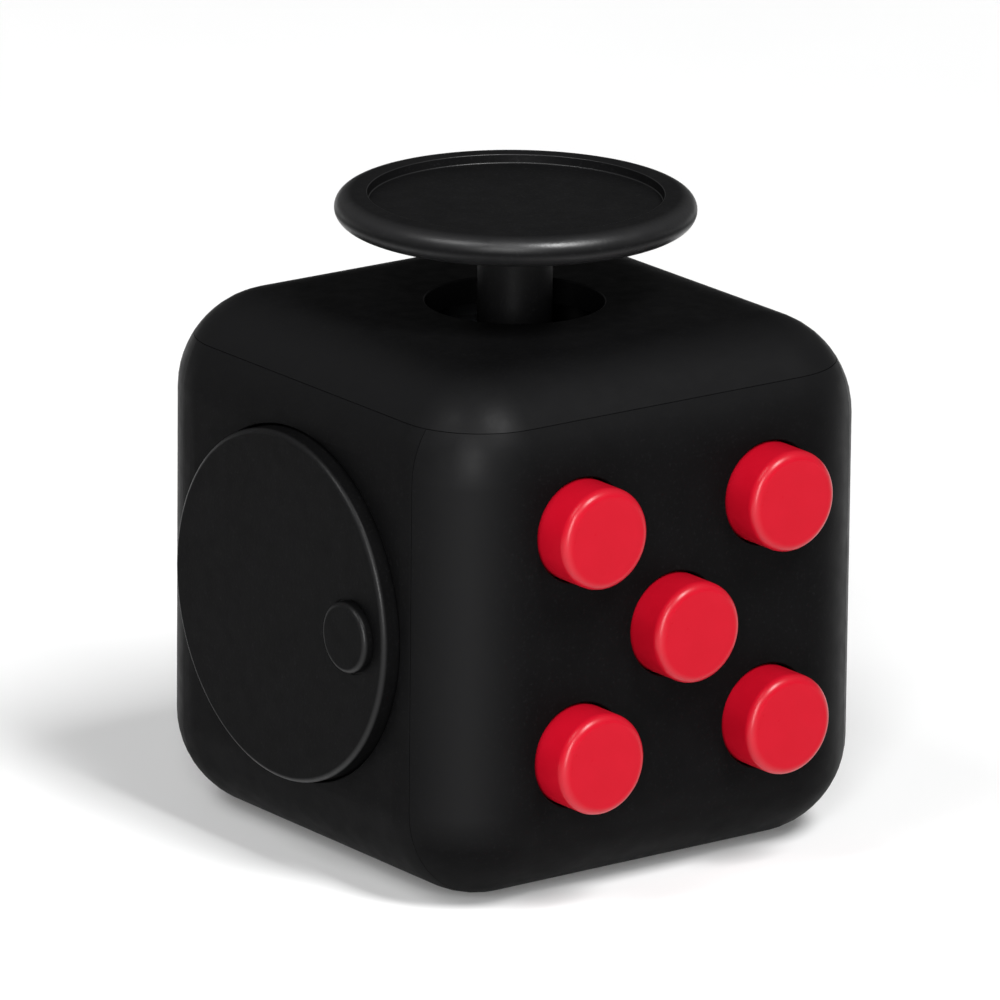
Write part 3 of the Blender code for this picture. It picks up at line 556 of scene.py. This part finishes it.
def make_rocker():
    """The flip switch: a shallow valley of a face on a round-backed body, tilted at rest."""
    crest, slope, valley = ROCKER_CREST, math.tan(ROCKER_TILT), ROCKER_VALLEY
    # Where the sloping face meets the round end: (crest + slope w)^2 + w^2 = radius^2
    a, b, c = 1 + slope**2, 2 * crest * slope, crest**2 - ROCKER_RADIUS**2
    end = (-b + math.sqrt(b * b - 4 * a * c)) / (2 * a)
    high = math.degrees(math.asin(end / ROCKER_RADIUS))
    low = math.degrees(math.acos(ROCKER_SHOULDER / ROCKER_RADIUS))
    side = arc((0, 0), (ROCKER_RADIUS, ROCKER_RADIUS), high, low, 10) + ROCKER_NOSE
    face = []
    for w in (-1.5, -1, -0.5, 0, 0.5, 1, 1.5):
        away = max(abs(w), valley / 2 + w * w / (2 * valley))
        face.append((crest + slope * away, w))
    outline = face + side + [(x, -z) for x, z in reversed(side)]
    cosine, sine = math.cos(ROCKER_TILT), math.sin(ROCKER_TILT)
    outline = [(x * cosine + z * sine, z * cosine - x * sine) for x, z in outline]
    body = prism("rocker_fine", outline, ROCKER_HALF_WIDTH, ROCKER_PIN)
    rocker = fine(body, "rocker", "rocker", "control_black")
    soften(rocker, ROCKER_SOFTNESS, 4, 50)
    cut(rocker, rod("rocker_axle_bore", AXLE_BORE, ROCKER_PIN - Y * 9, ROCKER_PIN + Y * 9, 40))
    inwards = Vector((-math.cos(ROCKER_TILT), 0, math.sin(ROCKER_TILT)))
    bore = ROCKER_PIN + inwards * 1.3, ROCKER_PIN + inwards * 4.0
    cut(rocker, rod("rocker_plunger_bore", PLUNGER_BORE, *bore, 40))
    spring = coil("rocker_spring_fine", ROCKER_PIN, inwards, *PLUNGER_SPRING, 1.45, 2.4, 3)
    fine(spring, "rocker_spring", "rocker", "spring_steel")


def make_gears():
    for number in (1, 2, 3):
        name = f"gear_{number}"
        pitch = math.tau / GEAR_TEETH
        outline = []
        for tooth in range(GEAR_TEETH):
            for share, radius in GEAR_TOOTH:
                angle = pitch * (tooth + share)
                outline.append((radius * math.cos(angle), radius * math.sin(angle)))
        gear = prism(name + "_fine", outline, GEAR_HALF_WIDTH, middle(name))
        gear.rotation_euler = (0, 0, -math.pi / 2)
        fine(gear, name, name, "gear_chrome")
        soften(gear, GEAR_SOFTNESS, 3, 25)
        spot = middle(name)
        cut(gear, rod(name + "_bore", AXLE_BORE, spot - X * 4, spot + X * 4, 40))


def make_ball():
    profile = arc((0, 0), (BALL_RADIUS, BALL_RADIUS), -90, 90, 48)
    fine(lathe("ball_fine", profile, BALL_CENTRE, Y), "ball", "ball", "gear_chrome")


def make_springs():
    for number, name in enumerate(BUTTON_NAMES, 1):
        spot = middle(name)
        spot = (spot.x, -HALF, spot.z)
        spring = coil(f"button_spring_{number}_fine", spot, -Y, *BUTTON_SPRING, -6.2, -2.9, 3.5)
        fine(spring, f"button_spring_{number}", "casing", "spring_steel")
    low, high = (end.y - BALL_CENTRE.y for end in span("ball_spring"))
    spring = coil("ball_spring_fine", BALL_CENTRE, Y, *BALL_SPRING, low, high, 2.5)
    fine(spring, "ball_spring", "casing", "spring_steel")
    low, high = (end.z - PIVOT.z for end in span("centring_spring"))
    spring = coil("centring_spring_fine", PIVOT, Z, *CENTRING_SPRING, low, high, 4)
    fine(spring, "centring_spring", "casing", "spring_steel")


# Finishes


class Finish:
    """A material's node tree around one Principled shader, with coordinates that stay with the piece."""

    def __init__(self, name):
        self.material = bpy.data.materials.new(name)
        self.material.use_nodes = True
        self.tree = self.material.node_tree
        self.shader = self.tree.nodes["Principled BSDF"]
        self.coordinates = self.tree.nodes.new("ShaderNodeTexCoord")
        self.place = self.coordinates.outputs["Object"]

    def link(self, source, target):
        self.tree.links.new(source, target)

    def node(self, kind, **settings):
        made = self.tree.nodes.new(kind)
        for key, value in settings.items():
            setattr(made, key, value)
        return made

    def noise(self, scale, detail=2.0, roughness=0.5, source=None):
        made = self.node("ShaderNodeTexNoise")
        made.inputs["Scale"].default_value = scale
        made.inputs["Detail"].default_value = detail
        made.inputs["Roughness"].default_value = roughness
        self.link(source or self.place, made.inputs["Vector"])
        return made.outputs["Fac"]

    def spread(self, value, low, high, to_low, to_high):
        """Maps a value from one range on to another and keeps it there."""
        made = self.node("ShaderNodeMapRange")
        for key, number in zip(("From Min", "From Max", "To Min", "To Max"), (low, high, to_low, to_high)):
            made.inputs[key].default_value = number
        self.link(value, made.inputs["Value"])
        return made.outputs["Result"]

    def blend(self, share, first, second):
        """Two colours mixed by a share."""
        made = self.node("ShaderNodeMix", data_type="RGBA")
        self.link(share, made.inputs["Factor"])
        for socket, colour in ((made.inputs[6], first), (made.inputs[7], second)):
            if isinstance(colour, tuple):
                socket.default_value = (*colour, 1)
            else:
                self.link(colour, socket)
        return made.outputs[2]

    def bumps(self, *layers):
        """Stacks (height, strength, depth in metres) layers on to the shader's normal."""
        normal = None
        for height, strength, depth in layers:
            made = self.node("ShaderNodeBump")
            made.inputs["Strength"].default_value = strength
            made.inputs["Distance"].default_value = depth
            self.link(height, made.inputs["Height"])
            if normal:
                self.link(normal, made.inputs["Normal"])
            normal = made.outputs["Normal"]
        self.link(normal, self.shader.inputs["Normal"])

    def set(self, **inputs):
        for key, value in inputs.items():
            socket = self.shader.inputs[key.replace("_", " ")]
            if isinstance(value, bpy.types.NodeSocket):
                self.link(value, socket)
            else:
                socket.default_value = value

    def one_sided(self):
        """Lets the back of a surface be seen through."""
        clear = self.node("ShaderNodeBsdfTransparent")
        mixed = self.node("ShaderNodeMixShader")
        self.link(self.node("ShaderNodeNewGeometry").outputs["Backfacing"], mixed.inputs["Fac"])
        self.link(self.shader.outputs["BSDF"], mixed.inputs[1])
        self.link(clear.outputs["BSDF"], mixed.inputs[2])
        self.link(mixed.outputs["Shader"], self.tree.nodes["Material Output"].inputs["Surface"])

    def math(self, operation, first, second):
        made = self.node("ShaderNodeMath", operation=operation)
        for socket, value in zip(made.inputs, (first, second)):
            if isinstance(value, bpy.types.NodeSocket):
                self.link(value, socket)
            else:
                socket.default_value = value
        return made.outputs[0]

    def rounding(self, square):
        """How much a surface belongs to a rounded edge, from 0 on faces and sides to 1 halfway round.

        A turned piece only has edges between its local Z and its sides; a square one has them all round."""
        parts = self.node("ShaderNodeSeparateXYZ")
        self.link(self.coordinates.outputs["Normal"], parts.inputs[0])
        x, y, z = (self.math("MULTIPLY", part, part) for part in parts.outputs)
        share = self.math("MULTIPLY", z, self.math("ADD", x, y))
        if square:
            share = self.math("ADD", share, self.math("MULTIPLY", x, y))
            # Edges facing down get none, which keeps the painted highlight and the extra specular off the
            # edges that face the floor.
            above = self.spread(parts.outputs["Z"], -0.35, 0.05, 0, 4)
            return self.math("MINIMUM", self.math("MULTIPLY", share, above), 1.0)
        return self.math("MINIMUM", self.math("MULTIPLY", share, 4.0), 1.0)


def black_plastic(name, tone, rough, grain, square, shine, gloss=0.025):
    """Moulded black plastic: spark-eroded grain and faint mottle, with rounded edges painted lighter as a
    painted highlight and given lower roughness and more specular.
    """
    made = Finish(name)
    dark, light = (tone, tone, tone * 1.05), (tone * 1.22, tone * 1.22, tone * 1.28)
    mottle = made.spread(made.noise(400, 3), 0.3, 0.7, 0, 1)
    speck = made.spread(made.noise(5200, 2, 0.7), 0.58, 0.76, 0, 0.6)
    edge_sheen_and_polish = made.rounding(square)
    body = made.blend(mottle, dark, light)
    body = made.blend(speck, body, tuple(3 * c for c in light))
    # Painted highlight: the rounded edges are lightened in colour.
    body = made.blend(edge_sheen_and_polish, body, tuple(1.8 * c for c in light))
    fine_grain = made.noise(4200, 3, 0.6)
    waves = made.noise(420, 2)
    cloud = made.spread(made.noise(900, 3), 0.25, 0.75, -0.05, 0.06)
    polished = made.spread(edge_sheen_and_polish, 0, 1, rough, rough - 0.1)
    made.set(Base_Color=body, Roughness=made.math("ADD", polished, cloud))
    made.set(Specular_IOR_Level=made.spread(edge_sheen_and_polish, 0, 1, gloss, shine))
    made.bumps((fine_grain, grain, 2e-5), (waves, 0.02, 1e-4))
    return made.material


def red_plastic(name):
    """Glossy red plastic with faint flow marks and fine polishing lines."""
    made = Finish(name)
    flow = made.spread(made.noise(260, 3, 0.6), 0.3, 0.7, 0, 1)
    body = made.blend(flow, (0.42, 0.003, 0.013), (0.455, 0.004, 0.016))
    edge_sheen_and_polish = made.rounding(False)
    # Painted highlight: the rounded rim of the face is a lighter, pinker red.
    body = made.blend(edge_sheen_and_polish, body, (0.45, 0.006, 0.018))
    roughness = made.spread(made.noise(1500, 3), 0.25, 0.75, 0.27, 0.35)
    made.set(Base_Color=body, Roughness=roughness, Specular_IOR_Level=made.spread(edge_sheen_and_polish, 0, 1, 0.1, 0.35))
    made.bumps((made.noise(3800, 2), 0.05, 1e-5), (made.noise(350, 2), 0.05, 1e-4))
    return made.material


def grey_plastic(name):
    """Plain mid-grey plastic with grain and a little mottle."""
    made = Finish(name)
    mottle = made.spread(made.noise(200, 4), 0.3, 0.7, 0, 1)
    body = made.blend(mottle, (0.052, 0.056, 0.062), (0.070, 0.073, 0.078))
    roughness = made.spread(made.noise(1100, 3), 0.25, 0.75, 0.52, 0.66)
    made.set(Base_Color=body, Roughness=roughness, Specular_IOR_Level=0.35)
    made.bumps((made.noise(3000, 3, 0.6), 0.25, 3e-5), (made.noise(300, 2), 0.06, 1e-4))
    return made.material


def bright_metal(name, dark, light, rough, lines):
    """Metal with fine turned lines across the local Z axis, cloudy tarnish and hairline scratches."""
    made = Finish(name)
    stretch = made.node("ShaderNodeMapping")
    stretch.inputs["Scale"].default_value = (0.08, 0.08, 1.0)
    made.link(made.place, stretch.inputs["Vector"])
    brushed = made.noise(lines, 4, 0.65, stretch.outputs["Vector"])
    cloud = made.spread(made.noise(320, 4), 0.3, 0.7, 0, 1)
    body = made.blend(cloud, dark, light)
    roughness = made.spread(brushed, 0.3, 0.7, rough - 0.06, rough + 0.1)
    made.set(Base_Color=body, Metallic=1.0, Roughness=roughness)
    made.bumps((brushed, 0.12, 1e-5), (made.noise(500, 2), 0.04, 1e-4))
    return made.material


FINISHES = {
    "casing_black": black_plastic("casing_black_fine", 0.0031, 0.52, 0.25, True, 0.08),
    "control_black": black_plastic("control_black_fine", 0.0028, 0.46, 0.5, False, 0.25),
    "button_red": red_plastic("button_red_fine"),
    "frame_grey": grey_plastic("frame_grey_fine"),
    "gear_chrome": bright_metal("gear_chrome_fine", (0.50, 0.51, 0.53), (0.66, 0.67, 0.69), 0.2, 9000),
    "spring_steel": bright_metal("spring_steel_fine", (0.34, 0.35, 0.36), (0.46, 0.46, 0.47), 0.34, 12000),
}
# The thumb pad and its post are polished by use, and their black is painted a lighter tone than the other
# controls: painted light on the pad and on the post in its shade.
POLISHED_AND_PAINTED_LIGHTER = {
    "thumb_disc": black_plastic("thumb_disc_black", 0.0052, 0.44, 0.5, False, 0.6, 0.03),
    "joystick_stem": black_plastic("joystick_stem_black", 0.0045, 0.42, 0.5, False, 0.2, 0.12),
}


def dress_cad_nodes():
    """The hidden works stay as the CAD has them and take the fine finish of their slot."""
    for obj in frame["nodes"].values():
        for spot in obj.material_slots:
            slot = spot.material.name.split(".")[0]
            if slot in FINISHES:
                spot.material = FINISHES[slot]


# Finishing


def baked(objects):
    """Every object's modifiers turned into a mesh of its own."""
    bpy.context.view_layer.update()
    graph = bpy.context.evaluated_depsgraph_get()
    return [bpy.data.meshes.new_from_object(obj.evaluated_get(graph)) for obj in objects]


def weld(mesh):
    """Merges points that Booleans leave closer than a micrometre and closes the pinholes.

    Booleans give their points in no fixed order, so they are sorted along a skew line before the merge."""
    bm = bmesh.new()
    bm.from_mesh(mesh)
    bm.verts.sort(key=lambda vert: vert.co.dot(SKEW))
    bmesh.ops.remove_doubles(bm, verts=bm.verts, dist=WELD_MERGE)
    bmesh.ops.holes_fill(bm, edges=[edge for edge in bm.edges if edge.is_boundary])
    face_outwards(bm)
    bm.to_mesh(mesh)
    bm.free()


def settle():
    """Bakes the pieces, evens out their shading, and hands them over in metres."""
    objects = [piece[0] for piece in pieces]
    plain = []
    for obj, mesh in zip(objects, baked(objects)):
        weld(mesh)
        mesh.shade_smooth()
        mesh.set_sharp_from_angle(angle=math.radians(SMOOTH_ANGLE))
        if obj.type != "MESH":
            made = bpy.data.objects.new(obj.name, mesh)
            bpy.context.scene.collection.objects.link(made)
            made.matrix_world = obj.matrix_world
            name = obj.name
            bpy.data.objects.remove(obj, do_unlink=True)
            made.name = name
            obj = made
        obj.modifiers.clear()
        obj.data = mesh
        even = obj.modifiers.new("even shading", "WEIGHTED_NORMAL")
        even.keep_sharp = True
        plain.append(obj)
    for obj, mesh, (_, node, body, slot) in zip(plain, baked(plain), pieces):
        mesh.transform(Matrix.Scale(MM, 4))
        obj.modifiers.clear()
        obj.data = mesh
        obj.location *= MM
        mesh.materials.clear()
        mesh.materials.append(POLISHED_AND_PAINTED_LIGHTER.get(node, FINISHES[slot]))
        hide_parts(node)
        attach(obj, body)
    for obj in helpers:
        bpy.data.objects.remove(obj, do_unlink=True)


def squash_springs():
    """Gives each button spring and the ball spring a mesh of its own; a button's spring is 3.3 mm long and
    its button travels 1.2 mm, and the ball's cup travels 0.8 mm.
    """
    for number in range(1, 6):
        spring = bpy.data.objects[f"button_spring_{number}_fine"]
        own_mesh(spring)
    spring = bpy.data.objects["ball_spring_fine"]
    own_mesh(spring)


# Studio


def softbox(name, azimuth, elevation, distance, size, power):
    """An area light aimed at the cube; azimuth 0 is in front of the buttons and -90 in front of the dial."""
    az, el = math.radians(azimuth), math.radians(elevation)
    away = Vector((math.sin(az) * math.cos(el), -math.cos(az) * math.cos(el), math.sin(el)))
    light = bpy.data.lights.new(name, "AREA")
    light.shape = "RECTANGLE"
    light.size, light.size_y = size
    light.energy = power
    obj = bpy.data.objects.new(name, light)
    bpy.context.scene.collection.objects.link(obj)
    obj.location = CENTRE * MM + away * distance
    obj.rotation_euler = away.to_track_quat("Z", "Y").to_euler()


def studio():
    bm = bmesh.new()
    bmesh.ops.create_grid(bm, x_segments=8, y_segments=8, size=1800)
    floor = make("studio_floor", bm, (0, 0, -0.02 * MM))
    floor.data.transform(Matrix.Scale(MM, 4))
    paper = Finish("studio_paper")
    tone = paper.spread(paper.noise(30, 3), 0.3, 0.7, 0, 1)
    paper.set(Base_Color=paper.blend(tone, (0.90, 0.90, 0.90), (0.92, 0.92, 0.92)))
    paper.set(Roughness=0.9, Specular_IOR_Level=0.1, Emission_Color=(1, 1, 1, 1), Emission_Strength=0.09)
    paper.one_sided()
    floor.data.materials.append(paper.material)
    world = bpy.data.worlds.new("studio")
    world.use_nodes = True
    world.node_tree.nodes["Background"].inputs["Color"].default_value = (1, 1, 1, 1)
    world.node_tree.nodes["Background"].inputs["Strength"].default_value = 0.12
    bpy.context.scene.world = world
    softbox("front_light", 4, 55, 2.0, (0.5, 0.8), 33)
    softbox("side_light", -90, 55, 2.0, (0.6, 0.8), 10)
    softbox("near_light", -42, 18, 1.1, (0.24, 0.8), 9)
    bpy.context.scene.view_settings.view_transform = "Standard"


def camera():
    azimuth, elevation, roll = math.radians(-36.576), math.radians(16.703), math.radians(0.615)
    distance = 0.75815
    level = math.cos(elevation)
    back = Vector((math.sin(azimuth) * level, -math.cos(azimuth) * level, math.sin(elevation)))
    right = Z.cross(back).normalized()
    up = back.cross(right)
    turned_right = right * math.cos(roll) + up * math.sin(roll)
    turned_up = up * math.cos(roll) - right * math.sin(roll)
    data = bpy.data.cameras.new("camera")
    data.lens = 445.25
    data.sensor_width = 36
    data.shift_x, data.shift_y = -0.01197, 0.05878
    data.clip_start, data.clip_end = 0.05, 10
    obj = bpy.data.objects.new("camera", data)
    bpy.context.scene.collection.objects.link(obj)
    obj.matrix_world = Matrix.Translation(CENTRE * MM + back * distance) @ Matrix(
        (turned_right, turned_up, back)
    ).transposed().to_4x4()
    bpy.context.scene.camera = obj


make_casing()
make_joystick()
make_buttons()
make_dial()
make_rocker()
make_gears()
make_ball()
make_springs()
settle()
squash_springs()
dress_cad_nodes()
studio()
camera()
